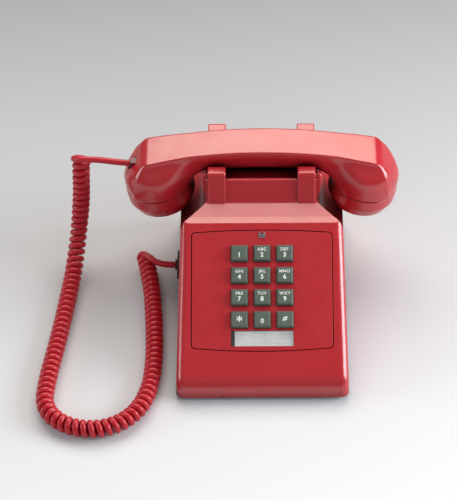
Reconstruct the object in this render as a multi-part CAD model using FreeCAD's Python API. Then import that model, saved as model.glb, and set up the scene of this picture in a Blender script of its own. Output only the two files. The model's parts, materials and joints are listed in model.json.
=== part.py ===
import FreeCAD, Part
import math
import os

# Push-button desk telephone, handset on its cradle.
# Millimetres. +X right, +Y to the back, +Z up. Origin: on the table, under the middle of the housing.

V = FreeCAD.Vector
os.makedirs("parts", exist_ok=True)

# ---- driving dimensions ----
Y0 = -110.0            # front of the housing
BASE_HALF_W = 72.5     # half width of the housing at the bottom
TOP_HALF_W = 67.0      # half width of the drafted side walls, carried up to Z_TOP
Z_BOTTOM = 3.5         # lower rim of the housing, above the table
Z_TOP = 130.0
DEPTH = 221.5          # housing depth at the bottom
BACK_LEAN = 8.5        # how far the back wall leans forward by Z_TOP
CORNER_R = 13.0        # plan radius of the four corners
WALL = 2.6             # housing wall
NOSE_Z = 18.0          # where the sloping face would meet the front wall
NOSE_R = 18.0
BROW = (120.5, 89.5)   # depth from the front, height
CREASE = (127.3, 90.3)
LEDGE_BACK = (142.2, 93.4)
LIP = (151.3, 110.4)
SADDLE_Z = 104.0
NECK_HALF_W = 47.4     # the neck under the handset
SHOULDER_HALF_W = 51.5 # the shoulders outside the ears, which flare out above it
EAR_IN, EAR_OUT = 30.5, 45.7
EAR_FRONT_Z, EAR_REAR_Z = 117.5, 121.0
FACE_LEN, FACE_HALF_W = 99.5, 59.0   # faceplate
KEY_PITCH = 19.05
KEY_SKIRT = 14.1
KEY_TOP = 11.9
KEY_TRAVEL = 3.0
LIFT_Y = 70.0          # handset's centre plane
HANDLE_TOP = 130.0
HANDLE_T = 22.0
HANDLE_R = 400.0       # radius of the handle's back
CUP_X = 84.8           # cap face centre
CUP_Z = 64.0
CUP_TILT = 9.0
CAP_R = 29.5
CORD_D = 5.2
COIL_D = 15.8


def rpoly(pts, to3d):
    """Closed wire of straight lines with tangent arcs at the corners; pts are (u, v, radius)."""
    n = len(pts)
    ends = []
    for i in range(n):
        u, v, r = pts[i]
        if r <= 0:
            ends.append(None)
            continue
        a, b = pts[i - 1], pts[(i + 1) % n]
        d1 = (a[0] - u, a[1] - v)
        d2 = (b[0] - u, b[1] - v)
        l1, l2 = math.hypot(*d1), math.hypot(*d2)
        d1 = (d1[0] / l1, d1[1] / l1)
        d2 = (d2[0] / l2, d2[1] / l2)
        ang = math.acos(max(-1, min(1, d1[0] * d2[0] + d1[1] * d2[1])))
        t = r / math.tan(ang / 2)
        p1 = (u + d1[0] * t, v + d1[1] * t)
        p2 = (u + d2[0] * t, v + d2[1] * t)
        bis = (d1[0] + d2[0], d1[1] + d2[1])
        lb = math.hypot(*bis)
        c = r / math.sin(ang / 2)
        m = (u + bis[0] / lb * (c - r), v + bis[1] / lb * (c - r))
        ends.append((p1, m, p2))
    edges = []
    last = None
    pos = []
    for i in range(n):
        if ends[i] is None:
            pos.append((pts[i][:2], None, pts[i][:2]))
        else:
            pos.append(ends[i])
    for i in range(n):
        p1, m, p2 = pos[i]
        q = pos[(i + 1) % n][0]
        if m is not None:
            edges.append(Part.Arc(V(*to3d(*p1)), V(*to3d(*m)), V(*to3d(*p2))).toShape())
        if math.hypot(q[0] - p2[0], q[1] - p2[1]) > 1e-6:
            edges.append(Part.LineSegment(V(*to3d(*p2)), V(*to3d(*q))).toShape())
    return Part.Wire(edges)


def prism(pts, to3d, vec):
    return Part.Face(rpoly(pts, to3d)).extrude(V(*vec))


def inset(pts, t):
    """Mitred inset of a closed polygon by t (radii shrink on convex corners, grow on concave ones)."""
    n = len(pts)
    area = sum(pts[i][0] * pts[(i + 1) % n][1] - pts[(i + 1) % n][0] * pts[i][1] for i in range(n))
    s = 1.0 if area > 0 else -1.0
    out = []
    for i in range(n):
        a, b, c = pts[i - 1], pts[i], pts[(i + 1) % n]
        d1 = (b[0] - a[0], b[1] - a[1])
        d2 = (c[0] - b[0], c[1] - b[1])
        l1, l2 = math.hypot(*d1), math.hypot(*d2)
        n1 = (-d1[1] / l1 * s, d1[0] / l1 * s)
        n2 = (-d2[1] / l2 * s, d2[0] / l2 * s)
        k = 1 + n1[0] * n2[0] + n1[1] * n2[1]
        p = (b[0] + (n1[0] + n2[0]) / k * t, b[1] + (n1[1] + n2[1]) / k * t)
        cross = (d1[0] * d2[1] - d1[1] * d2[0]) * s
        r = b[2]
        if r > 0:
            r = max(0.4, r - t) if cross > 0 else r + t
        out.append((p[0], p[1], r))
    return out


def box(x0, x1, y0, y1, z0, z1):
    return Part.makeBox(x1 - x0, y1 - y0, z1 - z0, V(x0, y0, z0))


def cyl(r, h, p, d=(0, 0, 1)):
    return Part.makeCylinder(r, h, V(*p), V(*d))


def rrect(hx, y0, y1, r, z):
    return rpoly([(-hx, y0, r), (hx, y0, r), (hx, y1, r), (-hx, y1, r)], lambda u, v: (u, v, z))


def edges_where(shape, test):
    return [e for e in shape.Edges if test(e)]


def try_fillet(shape, r, edges):
    """Fillets one edge at a time group; keeps the shape when a radius can't be made."""
    if not edges:
        return shape
    try:
        s = shape.makeFillet(r, edges)
        if s.isValid() and len(s.Solids) == 1 and s.Volume > 0:
            return s
    except Exception:
        pass
    return shape


def one(shape):
    """The single solid of a boolean's result, which must be one piece."""
    if len(shape.Solids) == 1:
        return shape.Solids[0]
    print("PIECES", len(shape.Solids), [round(s.Volume, 2) for s in shape.Solids][:6])
    return max(shape.Solids, key=lambda s: s.Volume)


def mid(e):
    return e.valueAt((e.FirstParameter + e.LastParameter) / 2)


# ---- the sloping face's own frame: u = X, v = up the slope, w = out of the face ----
slope = math.atan2(BROW[1] - NOSE_Z, BROW[0])
CA, SA = math.cos(slope), math.sin(slope)
FACE_C = (70.5, NOSE_Z + 70.5 * math.tan(slope))


def face(u, v, w):
    return (u, Y0 + FACE_C[0] + v * CA - w * SA, FACE_C[1] + v * SA + w * CA)


W_DIR = (0.0, -SA, CA)


def fprism(pts, w0, w1):
    return prism(pts, lambda u, v: face(u, v, w0), tuple(c * (w1 - w0) for c in W_DIR))


def frect(u0, u1, v0, v1, w0, w1, r=0):
    return fprism([(u0, v0, r), (u1, v0, r), (u1, v1, r), (u0, v1, r)], w0, w1)


def fcyl(r, u, v, w0, w1):
    return cyl(r, w1 - w0, face(u, v, w0), W_DIR)


# ---- housing ----
def side_profile(t):
    pts = [
        (0.0, -20, 0), (0.0, NOSE_Z, NOSE_R), (BROW[0], BROW[1], 0), (CREASE[0], CREASE[1], 0),
        (LEDGE_BACK[0], LEDGE_BACK[1], 3.0), (LIP[0], LIP[1], 2.4), (155.0, 110.2, 2.2), (158.5, SADDLE_Z, 5.0),
        (200.5, SADDLE_Z, 5.0), (204.5, 109.6, 2.2), (214.0, 109.0, 4.5), (230.0, 109.0, 0), (230, -20, 0),
    ]
    if t:
        pts = inset(pts, t)
        pts = [p for p in pts]
    return [(y, z, r) for y, z, r in pts]


def flank_profile(t):
    # n = distance outwards from the neck's wall
    return [(-t, 170, 0), (-t, 57.5 - t, 24.0 + t), (190, 23.7 - t, 0), (190, 170, 0)]


FRONT_R = 7.0          # rounding of the front corners and of the face's two long edges
VALLEY_R = 12.0        # where the scoop turns from the brow's corner to the neck


def body(t):
    def plan(hx, y0, y1, r, z):
        return rpoly([(-hx, y0, 0), (hx, y0, 0), (hx, y1, r), (-hx, y1, r)], lambda u, v: (u, v, z))
    lo = plan(BASE_HALF_W - t, Y0 - 6, Y0 + DEPTH - t, CORNER_R - t, Z_BOTTOM)
    hi = plan(TOP_HALF_W - t, Y0 - 6, Y0 + DEPTH - BACK_LEAN - t, CORNER_R - t, Z_TOP)
    s = Part.makeLoft([lo, hi], True, True)
    s = s.common(prism(side_profile(t), lambda y, z: (-90, Y0 + y, z), (180, 0, 0)))
    tl = math.tan(slope)

    def front_chain(e):
        m = mid(e)
        y = m.y - Y0
        half = BASE_HALF_W + (TOP_HALF_W - BASE_HALF_W) * (m.z - Z_BOTTOM) / (Z_TOP - Z_BOTTOM) - t
        along = abs(e.tangentAt((e.FirstParameter + e.LastParameter) / 2).x)
        return abs(abs(m.x) - half) < 0.3 and y < 119 and along < 0.3 and (abs(m.z - (NOSE_Z + y * tl)) < 4 or y < t + 1) and m.z > Z_BOTTOM + 1
    s = try_fillet(s, FRONT_R - t, edges_where(s, front_chain))
    # the scoop under each end of the handset: it runs along the neck, and obliquely out to the brow's corner
    ox, oy = 46.6, Y0 + LEDGE_BACK[0]
    dx, dy = 67.3 - 46.6, BROW[0] - LEDGE_BACK[0]
    L = math.hypot(dx, dy)
    dx, dy = dx / L, dy / L
    nx, ny = -dy, dx
    for sgn in (-1, 1):
        a = prism(flank_profile(t), lambda n, z: (sgn * (NECK_HALF_W + n), Y0 + 60, z), (0, 200, 0))
        b = prism(flank_profile(t), lambda n, z: (sgn * (ox - dx * 160 + nx * n), oy - dy * 160 + ny * n, z),
                  (sgn * dx * 320, dy * 320, 0))
        scoop = a.common(b)
        # the two walls meet in a valley, which is rounded too
        px, py = NECK_HALF_W, oy + dy / dx * (NECK_HALF_W - ox)
        bx, by = 1 + nx, ny
        bl = math.hypot(bx, by)
        bx, by = bx / bl, by / bl

        def valley(e):
            m = mid(e)
            return abs((abs(m.x) - px) * by - (m.y - py) * bx) < 0.05 and abs(m.x) < 110 and m.z < 169

        for r in (VALLEY_R + t, VALLEY_R - 4, 2.0):
            q = try_fillet(scoop, r, edges_where(scoop, valley))
            if q is not scoop:
                scoop = q
                break
        else:
            print("valley left sharp")
        s = s.cut(scoop)
    return s


outer = one(body(0.0))
inner = one(body(WALL))

# ears: blades that stand in front of and behind the handle, with a lower shoulder on the outside
def ear(x0, x1, pts):
    return prism(pts, lambda y, z: (x0, Y0 + y, z), (x1 - x0, 0, 0))


front_ear = [(139.9, 91.5, 0), (151.4, EAR_FRONT_Z, 3.0), (161.6, EAR_FRONT_Z, 2.0), (162.4, 103.0, 3.0),
             (165.5, 99.0, 0), (165.0, 90.0, 0)]
rear_ear = [(194.5, 99.0, 0), (197.7, 103.0, 3.0), (198.4, EAR_REAR_Z, 2.0), (212.9, EAR_REAR_Z, 3.0),
            (215.3, 88.0, 0), (194.5, 88.0, 0)]
shoulder_f = [(145.2, 92.0, 0), (156.0, 112.6, 3.0), (161.4, 112.6, 2.0), (162.4, 101.0, 0), (162.0, 90.0, 0)]
shoulder_r = [(198.0, 90.0, 0), (198.0, 101.0, 0), (199.2, 113.5, 2.0), (210.5, 113.5, 3.0), (215.3, 88.0, 0)]
ears = []
for sgn in (-1, 1):
    a, b = sorted((sgn * EAR_IN, sgn * EAR_OUT))
    for p in (front_ear, rear_ear):
        e = ear(a, b, p)
        e = try_fillet(e, 1.2, edges_where(e, lambda k: mid(k).z > 104 and (abs(mid(k).x - a) < .01 or abs(mid(k).x - b) < .01)))
        ears.append(e)
    a, b = sorted((sgn * (EAR_OUT - 4), sgn * SHOULDER_HALF_W))
    flare = prism([(EAR_OUT - 5, 86, 0), (NECK_HALF_W - 0.3, 86, 0), (NECK_HALF_W - 0.3, 91, 6.0), (SHOULDER_HALF_W - 0.02, 107, 4.0),
                   (SHOULDER_HALF_W - 0.02, 120, 0), (EAR_OUT - 5, 120, 0)], lambda x, z: (sgn * x, Y0 + 130, z), (0, 100, 0))
    for p in (shoulder_f, shoulder_r):
        e = ear(a, b, p)
        e = try_fillet(e, 2.2, edges_where(e, lambda k: mid(k).z > 103 and abs(abs(mid(k).x) - SHOULDER_HALF_W) < .1))
        ears.append(one(e.common(flare)))


# round the outside: the scoop's rim, the brow, the ledge's sides, the neck's front corners
def scoop_rim(e):
    m = mid(e)
    y = m.y - Y0
    half = BASE_HALF_W + (TOP_HALF_W - BASE_HALF_W) * (m.z - Z_BOTTOM) / (Z_TOP - Z_BOTTOM)
    return 100 < y < 205 and abs(abs(m.x) - half) < 1.5 and 40 < m.z < 80 and e.Length > 1


def brow_edge(e):
    m = mid(e)
    return abs(m.y - Y0 - BROW[0]) < 1.2 and abs(m.z - BROW[1]) < 0.4


def ledge_side(e):
    m = mid(e)
    y = m.y - Y0
    return 121.5 < y < 135.5 and m.z > 88.5 and 44 < abs(m.x) < 66 and e.Length > 4


def neck_corner(e):
    m = mid(e)
    return abs(abs(m.x) - NECK_HALF_W) < 0.1 and 94 < m.z < 109 and 142 < m.y - Y0 < 151 and e.Length > 10


shell_out = outer
for tests, radii in (((brow_edge,), (2.4, 1.8, 1.0)), ((scoop_rim,), (1.0, 0.6)), ((ledge_side,), (1.4, 0.8, 0.4))):
    found = edges_where(shell_out, lambda e: any(t(e) for t in tests))
    done = 0
    for r in radii:
        s = try_fillet(shell_out, r, found)
        if s is not shell_out:
            done = r
            shell_out = s
            break
    print("rounded", tests[0].__name__, len(found), done)

shell_out = shell_out.fuse(ears)
shell_out = one(shell_out.removeSplitter())
print("outer", shell_out.isValid(), len(shell_out.Solids), round(shell_out.Volume))

cavity = inner.common(box(-90, 90, Y0 - 5, Y0 + 230, Z_BOTTOM - 1, Z_TOP))
cavity = cavity.fuse(prism([(-BASE_HALF_W + WALL, Y0 + WALL, CORNER_R - WALL), (BASE_HALF_W - WALL, Y0 + WALL, CORNER_R - WALL),
                            (BASE_HALF_W - WALL, Y0 + DEPTH - WALL, CORNER_R - WALL), (-BASE_HALF_W + WALL, Y0 + DEPTH - WALL, CORNER_R - WALL)],
                           lambda u, v: (u, v, Z_BOTTOM - 2), (0, 0, 2.05)))

# finger recess in the back wall, under the rear ears: the hand goes in here to carry the telephone
REC_HALF, REC_Z0, REC_Z1, REC_Y = 38.0, 66.0, 92.0, 196.0
recess = prism([(REC_Y, REC_Z0 + 2, 3), (REC_Y, REC_Z1, 5), (235, REC_Z1 + 3, 0), (235, REC_Z0 - 6, 0)],
               lambda y, z: (-REC_HALF, Y0 + y, z), (2 * REC_HALF, 0, 0))
recess_wall = prism([(REC_Y - WALL, REC_Z0 - 1, 3), (REC_Y - WALL, REC_Z1 + WALL, 5), (235, REC_Z1 + 3 + WALL, 0), (235, REC_Z0 - 6 - WALL, 0)],
                    lambda y, z: (-REC_HALF - WALL, Y0 + y, z), (2 * REC_HALF + 2 * WALL, 0, 0))
cavity = one(cavity.cut(recess_wall))
housing = one(shell_out.cut(cavity).cut(recess))
print('shell', round(housing.Volume))

# opening for the faceplate: bowed top and bottom edges
def plate_wire(grow, w):
    hu, hv = FACE_HALF_W + grow, FACE_LEN / 2 + grow
    r = 3.0 + max(grow, -2)
    bt, bb = 2.0, 2.6
    P = lambda u, v: V(*face(u, v, w))
    k = r * (1 - math.cos(math.pi / 4))
    ed = [
        Part.Arc(P(-hu + r, -hv), P(0, -hv - bb), P(hu - r, -hv)).toShape(),
        Part.Arc(P(hu - r, -hv), P(hu - k, -hv + k), P(hu, -hv + r)).toShape(),
        Part.LineSegment(P(hu, -hv + r), P(hu, hv - r)).toShape(),
        Part.Arc(P(hu, hv - r), P(hu - k, hv - k), P(hu - r, hv)).toShape(),
        Part.Arc(P(hu - r, hv), P(0, hv + bt), P(-hu + r, hv)).toShape(),
        Part.Arc(P(-hu + r, hv), P(-hu + k, hv - k), P(-hu, hv - r)).toShape(),
        Part.LineSegment(P(-hu, hv - r), P(-hu, -hv + r)).toShape(),
        Part.Arc(P(-hu, -hv + r), P(-hu + k, -hv + k), P(-hu + r, -hv)).toShape(),
    ]
    return Part.Wire(ed)


def plate_solid(grow, w0, w1):
    return Part.Face(plate_wire(grow, w0)).extrude(V(*[c * (w1 - w0) for c in W_DIR]))


housing = housing.cut(plate_solid(0.65, -8, 12))

# plunger holes in the saddle
PL_X, PL_HALF = 38.1, 3.4
PL_TOP = 105.4         # just under the resting handle
for sgn in (-1, 1):
    housing = housing.cut(box(sgn * PL_X - PL_HALF - 0.25, sgn * PL_X + PL_HALF + 0.25, LIFT_Y - PL_HALF - 0.25, LIFT_Y + PL_HALF + 0.25, 95, 112))

# jack openings: left side (handset cord) and back (line cord)
JY, JZ = 33.0, 18.0
housing = housing.cut(box(-80, -60, JY - 9.0, JY + 9.0, JZ - 7.0, JZ + 7.0))
LX, LZ = 0.0, 16.0
housing = housing.cut(box(LX - 9.0, LX + 9.0, Y0 + 210, Y0 + 230, LZ - 7.0, LZ + 7.0))

# screw posts inside the housing
outer_mid = body(1.3)
POSTS = [(-56.0, -96.5), (56.0, -96.5), (-57.0, 92.0), (57.0, 92.0)]
for x, y in POSTS:
    top = 24.0 if y < 0 else 62.0
    post = cyl(4.2, top, (x, y, 6.0)).cut(cyl(1.55, 14.0, (x, y, 5.0)))
    post = post.common(outer_mid)
    housing = housing.fuse(post)
# two lugs under the saddle that carry the hook switch
for sgn in (-1, 1):
    lug = cyl(3.0, 9.0, (sgn * 24.0, LIFT_Y - 12.0, 94.5))
    housing = housing.fuse(lug.cut(cyl(1.0, 6.0, (sgn * 24.0, LIFT_Y - 12.0, 94.0))))
housing = housing.removeSplitter()
print("housing", housing.isValid(), len(housing.Solids), round(housing.Volume), [(round(s.Volume), s.CenterOfMass) for s in housing.Solids])

# ---- faceplate ----
KEY_V0 = 31.4
COLS = [-KEY_PITCH, 0.0, KEY_PITCH]
ROWS = [KEY_V0 - i * KEY_PITCH for i in range(4)]
CARD_V, CARD_HU, CARD_HV = -41.6, 26.2, 6.7
W_FACE = -0.15
faceplate = plate_solid(0.0, -WALL - 0.6, W_FACE)
faceplate = try_fillet(faceplate, 0.45, [e for e in faceplate.Edges if abs((mid(e) - V(*face(0, 0, W_FACE))).dot(V(*W_DIR))) < 0.02])
faceplate = faceplate.fuse(plate_solid(2.0, -4.2, -WALL).common(body(WALL + 0.1)))
kh = KEY_SKIRT / 2 + 0.35
for u in COLS:
    for v in ROWS:
        faceplate = faceplate.cut(frect(u - kh, u + kh, v - kh, v + kh, -6, 2, 0.8))
faceplate = faceplate.cut(frect(-CARD_HU, CARD_HU, CARD_V - CARD_HV, CARD_V + CARD_HV, -1.75, 2, 0.6))
faceplate = faceplate.cut(frect(-1.2, 1.2, 46.6, 48.2, -6, 2))
faceplate = faceplate.removeSplitter()
print("faceplate", faceplate.isValid(), len(faceplate.Solids))

# clip: a sprung steel hook over the plate's top edge
clip = frect(-2.7, 2.7, 45.2, 50.2, W_FACE, W_FACE + 0.7, 0.8).cut(frect(-1.0, 1.0, 47.4, 51.5, -1, 2, 0.4))
clip = clip.fuse(frect(-0.9, 0.9, 46.8, 48.0, -4.8, W_FACE + 0.7))
clip = clip.removeSplitter()

# number card, its dark end strip and its clear cover, all in the recess
c0, c1 = -CARD_HU + 0.2, CARD_HU - 0.2
card_tab = frect(c0, c0 + 2.8, CARD_V - CARD_HV + 0.2, CARD_V + CARD_HV - 0.2, -1.75, -0.35, 0.3)
number_card = frect(c0 + 3.0, c1, CARD_V - CARD_HV + 0.2, CARD_V + CARD_HV - 0.2, -1.75, -1.4)
card_window = frect(c0 + 3.0, c1, CARD_V - CARD_HV + 0.2, CARD_V + CARD_HV - 0.2, -1.4, -0.45, 0.3)

# ---- keys ----
def key(u, v):
    h, t = KEY_SKIRT / 2, KEY_TOP / 2
    skirt = frect(u - h, u + h, v - h, v + h, -3.0, 1.3, 0.7)
    lo = rpoly([(u - h + .15, v - h + .15, .7), (u + h - .15, v - h + .15, .7), (u + h - .15, v + h - .15, .7), (u - h + .15, v + h - .15, .7)],
               lambda a, b: face(a, b, 1.3))
    hi = rpoly([(u - t, v - t, 1.0), (u + t, v - t, 1.0), (u + t, v + t, 1.0), (u - t, v + t, 1.0)],
               lambda a, b: face(a, b, 3.7))
    cap = Part.makeLoft([lo, hi], True, True)
    top = V(*face(u, v, 3.7))
    cap = try_fillet(cap, 0.35, [e for e in cap.Edges if abs((mid(e) - top).dot(V(*W_DIR))) < 0.02])
    k = skirt.fuse(cap)
    k = k.fuse(frect(u - 2.5, u + 2.5, v - 2.5, v + 2.5, -10.2, -3.0))
    return k.removeSplitter()


KEYS = ["key_1", "key_2", "key_3", "key_4", "key_5", "key_6", "key_7", "key_8", "key_9", "key_star", "key_0", "key_hash"]
keys = {}
for i, name in enumerate(KEYS):
    keys[name] = key(COLS[i % 3], ROWS[i // 3])
print("key", keys["key_1"].isValid(), round(keys["key_1"].Volume, 1))

# ---- keypad stack behind the faceplate ----
KV = (ROWS[0] + ROWS[3]) / 2
fu, fv = 32.0, 40.0
keypad_frame = frect(-fu, fu, KV - fv, KV + fv, -17.0, -4.2, 2.0)
keypad_frame = keypad_frame.cut(frect(-fu + 2, fu - 2, KV - fv + 2, KV + fv - 2, -6.6, -4.0, 1.0))
keypad_frame = keypad_frame.cut(frect(-fu + 2, fu - 2, KV - fv + 2, KV + fv - 2, -17.2, -9.6, 1.0))
for u in COLS:
    for v in ROWS:
        keypad_frame = keypad_frame.cut(frect(u - 2.6, u + 2.6, v - 2.6, v + 2.6, -10, -6))
SCR = [(su * 26.5, KV + sv * 35.0) for su in (-1, 1) for sv in (-1, 1)]
for u, v in SCR:
    keypad_frame = keypad_frame.fuse(fcyl(2.6, u, v, -17.0, -9.5).cut(fcyl(0.9, u, v, -17.2, -11.0)))
keypad_frame = keypad_frame.removeSplitter()

iu, iv = fu - 2.25, fv - 2.25
dome_sheet = frect(-iu, iu, KV - iv, KV + iv, -14.6, -13.8, 0.8)
for u in COLS:
    for v in ROWS:
        dome_sheet = dome_sheet.fuse(Part.makeCone(4.2, 2.9, 3.3, V(*face(u, v, -13.8)), V(*W_DIR)))
board = frect(-iu, iu, KV - iv, KV + iv, -16.2, -14.6, 0.8)
backplate = frect(-fu, fu, KV - fv, KV + fv, -18.2, -17.0, 2.0)
for u, v in SCR:
    hole = fcyl(3.0, u, v, -17.0, -13)
    dome_sheet = dome_sheet.cut(hole)
    board = board.cut(hole)
    backplate = backplate.cut(fcyl(1.1, u, v, -19, -16))
keypad_screws = Part.makeCompound([fcyl(0.9, u, v, -18.2, -11.6).fuse(fcyl(2.2, u, v, -19.6, -18.2)) for u, v in SCR])

# ---- base plate, feet, screws ----
bp = [(-BASE_HALF_W + WALL + .35, Y0 + WALL + .35, 10), (BASE_HALF_W - WALL - .35, Y0 + WALL + .35, 10),
      (BASE_HALF_W - WALL - .35, Y0 + DEPTH - WALL - .35, 10), (-BASE_HALF_W + WALL + .35, Y0 + DEPTH - WALL - .35, 10)]
base_plate = prism(bp, lambda u, v: (u, v, 4.0), (0, 0, 2.0))
WH = (50.0, 14.0, 14.2, 12.2)   # volume wheel: x, y, z, radius
base_plate = base_plate.cut(box(WH[0] - 3.4, WH[0] + 3.4, WH[1] - 9.5, WH[1] + 9.5, 3, 7))
for x, y in POSTS:
    base_plate = base_plate.cut(cyl(1.8, 4, (x, y, 3)))
FEET = [(-42.0, -90.0), (42.0, -90.0), (-42.0, 96.0), (42.0, 96.0)]
feet = []
for x, y in FEET:
    f = cyl(8.5, 4.0, (x, y, 0.0))
    f = try_fillet(f, 0.9, [e for e in f.Edges if abs(mid(e).z) < 0.01])
    feet.append(f)
rubber_feet = Part.makeCompound(feet)
housing_screws = Part.makeCompound([cyl(1.5, 12.0, (x, y, 4.0)).fuse(cyl(3.2, 1.6, (x, y, 2.4))) for x, y in POSTS])

# ---- jacks ----
def wall_x(z):
    return BASE_HALF_W + (TOP_HALF_W - BASE_HALF_W) * (z - Z_BOTTOM) / (Z_TOP - Z_BOTTOM)


# side jack: bezel on the wall, body inside, socket for the modular plug
bez = prism([(-wall_x(JZ - 8) - 1.9, JZ - 8.0, .5), (-wall_x(JZ - 8) - 0.02, JZ - 8.0, 0), (-wall_x(JZ + 8) - 0.02, JZ + 8.0, 0), (-wall_x(JZ + 8) - 1.9, JZ + 8.0, .5)],
            lambda x, z: (x, JY - 10.0, z), (0, 20.0, 0))
bez = try_fillet(bez, 0.6, [e for e in bez.Edges if mid(e).x < -wall_x(JZ) - 1.2 and abs(e.tangentAt(e.FirstParameter).y) < .1])
jbody = box(-73.0, -56.0, JY - 8.8, JY + 8.8, JZ - 6.8, JZ + 6.8)
handset_jack = bez.fuse(jbody).cut(box(-80, -60.0, JY - 4.0, JY + 4.0, JZ - 3.4, JZ + 3.4)).removeSplitter()
plug_base = box(-75.6, -61.0, JY - 3.8, JY + 3.8, JZ - 3.2, JZ + 3.2)
plug_base = try_fillet(plug_base, 0.5, plug_base.Edges)
# rear jack, left open: the line cord plugs in here
YB = Y0 + DEPTH
line_jack = box(LX - 8.8, LX + 8.8, YB - 17.0, YB - 0.9, LZ - 6.8, LZ + 6.8)
def back_y(z):
    return YB - BACK_LEAN * (z - Z_BOTTOM) / (Z_TOP - Z_BOTTOM)


line_jack = line_jack.fuse(prism(
    [(back_y(LZ - 8.5) + .02, LZ - 8.5, 0), (back_y(LZ - 8.5) + 1.4, LZ - 8.5, .4), (back_y(LZ + 8.5) + 1.4, LZ + 8.5, .4),
     (back_y(LZ + 8.5) + .02, LZ + 8.5, 0)], lambda y, z: (LX - 10.5, y, z), (21.0, 0, 0)))
line_jack = line_jack.fuse(box(LX - 8.8, LX + 8.8, YB - 1.5, YB + 0.1, LZ - 6.8, LZ + 6.8))
line_jack = line_jack.cut(box(LX - 4.9, LX + 4.9, YB - 13.0, YB + 3, LZ - 3.4, LZ + 3.4)).removeSplitter()

# ---- hook switch ----
PIN_Y, PIN_Z = LIFT_Y - 22.0, 88.0
hook_bracket = box(-44.0, 44.0, PIN_Y - 5.0, LIFT_Y + 12.0, 78.0, 79.2)
for sgn in (-1, 1):
    a, b = sorted((sgn * 42.8, sgn * 44.0))
    hook_bracket = hook_bracket.fuse(box(a, b, PIN_Y - 5.0, PIN_Y + 6.0, 78.0, 93.0))
    hook_bracket = hook_bracket.fuse(box(sgn * 24.0 - 5, sgn * 24.0 + 5, LIFT_Y - 17.0, LIFT_Y - 7.0, 93.2, 94.5).cut(
        cyl(1.2, 4, (sgn * 24.0, LIFT_Y - 12.0, 92.0))))
    hook_bracket = hook_bracket.fuse(box(sgn * 24.0 - 5, sgn * 24.0 + 5, LIFT_Y - 8.2, LIFT_Y - 7.0, 79.0, 94.0))
hook_bracket = hook_bracket.cut(cyl(1.5, 110, (-55, PIN_Y, PIN_Z), (1, 0, 0)))
hook_bracket = hook_bracket.removeSplitter()
hookswitch_pin = cyl(1.5, 88.6, (-44.3, PIN_Y, PIN_Z), (1, 0, 0))
lever = cyl(3.0, 84.0, (-42.0, PIN_Y, PIN_Z), (1, 0, 0))
for sgn in (-1, 1):
    a, b = sorted((sgn * 34.6, sgn * 41.6))
    lever = lever.fuse(box(a, b, PIN_Y, LIFT_Y + 3.4, 88.4, 90.0))
lever = lever.fuse(box(-7.0, 7.0, PIN_Y, LIFT_Y + 4.0, 88.4, 89.6))
lever = lever.cut(cyl(1.56, 110, (-55, PIN_Y, PIN_Z), (1, 0, 0))).removeSplitter()
hook_contacts = box(-9, 9, LIFT_Y - 5.0, LIFT_Y + 11.0, 79.2, 84.0)
for k in range(3):
    hook_contacts = hook_contacts.fuse(box(-6 + 5 * k - .9, -6 + 5 * k + .9, LIFT_Y - 4.0, LIFT_Y + 9.0, 84.0, 87.6))
hook_contacts = hook_contacts.removeSplitter()
plungers = {}
for name, sgn in (("plunger_left", -1), ("plunger_right", 1)):
    p = box(sgn * PL_X - PL_HALF, sgn * PL_X + PL_HALF, LIFT_Y - PL_HALF, LIFT_Y + PL_HALF, 90.5, PL_TOP)
    p = try_fillet(p, 0.8, [e for e in p.Edges if abs(mid(e).z - PL_TOP) < .01])
    p = p.fuse(box(sgn * PL_X - PL_HALF - 1.4, sgn * PL_X + PL_HALF + 1.4, LIFT_Y - PL_HALF, LIFT_Y + PL_HALF, 90.5, 92.0))
    plungers[name] = p.removeSplitter()

# ---- ringer ----
GX, GY = 27.5, -24.0
ringer_frame = box(-44, 44, -38, 34, 7.4, 8.8)
for sx in (-1, 1):
    ringer_frame = ringer_frame.fuse(cyl(3.6, 13.2, (sx * GX, GY, 7.6)).cut(cyl(1.5, 9.0, (sx * GX, GY, 13.0))))
    a, b = sorted((sx * 21.0, sx * 22.4))
    ringer_frame = ringer_frame.fuse(box(a, b, 4, 28, 7.6, 30))
for x, y in ((-38, -34), (38, -34), (-38, 30), (38, 30)):
    ringer_frame = ringer_frame.fuse(cyl(3.0, 1.6, (x, y, 6.0)))
# bracket for the volume wheel
for a in (WH[0] - 6.0, WH[0] + 4.6):
    ringer_frame = ringer_frame.fuse(box(a, a + 1.4, WH[1] - 4, WH[1] + 4, 7.6, 18.0))
ringer_frame = ringer_frame.fuse(box(WH[0] - 8.0, WH[0] - 4.6, WH[1] - 4, WH[1] + 4, 7.4, 8.8))
ringer_frame = ringer_frame.fuse(box(WH[0] - 6.0, WH[0] + 6.0, WH[1] + 13.0, WH[1] + 15.0, 7.4, 8.8))
ringer_frame = ringer_frame.fuse(box(40, WH[0] + 6.0, WH[1] + 13.0, WH[1] + 18.0, 7.4, 8.8))
ringer_frame = ringer_frame.fuse(box(WH[0] + 4.6, WH[0] + 6.0, WH[1] - 4, WH[1] + 18, 7.4, 8.8))
ringer_frame = ringer_frame.cut(cyl(1.2, 20, (WH[0] - 10, WH[1], WH[2]), (1, 0, 0)))
CL_Y = -1.0
ringer_frame = ringer_frame.cut(cyl(1.0, 6, (0, CL_Y, 5.5)))
ringer_frame = ringer_frame.removeSplitter()
clapper_pin = cyl(1.0, 20.0, (0, CL_Y, 7.4))
hub = cyl(2.6, 10.0, (0, CL_Y, 12.0))
clapper = hub.fuse(box(-0.6, 0.6, GY + 2, CL_Y, 16.3, 17.7)).fuse(Part.makeSphere(3.1, V(0, GY, 17.0)))
clapper = clapper.fuse(box(-13, 13, CL_Y + 1.0, CL_Y + 3.0, 13.0, 21.0))
clapper = clapper.cut(cyl(1.06, 30, (0, CL_Y, 5))).removeSplitter()


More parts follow.
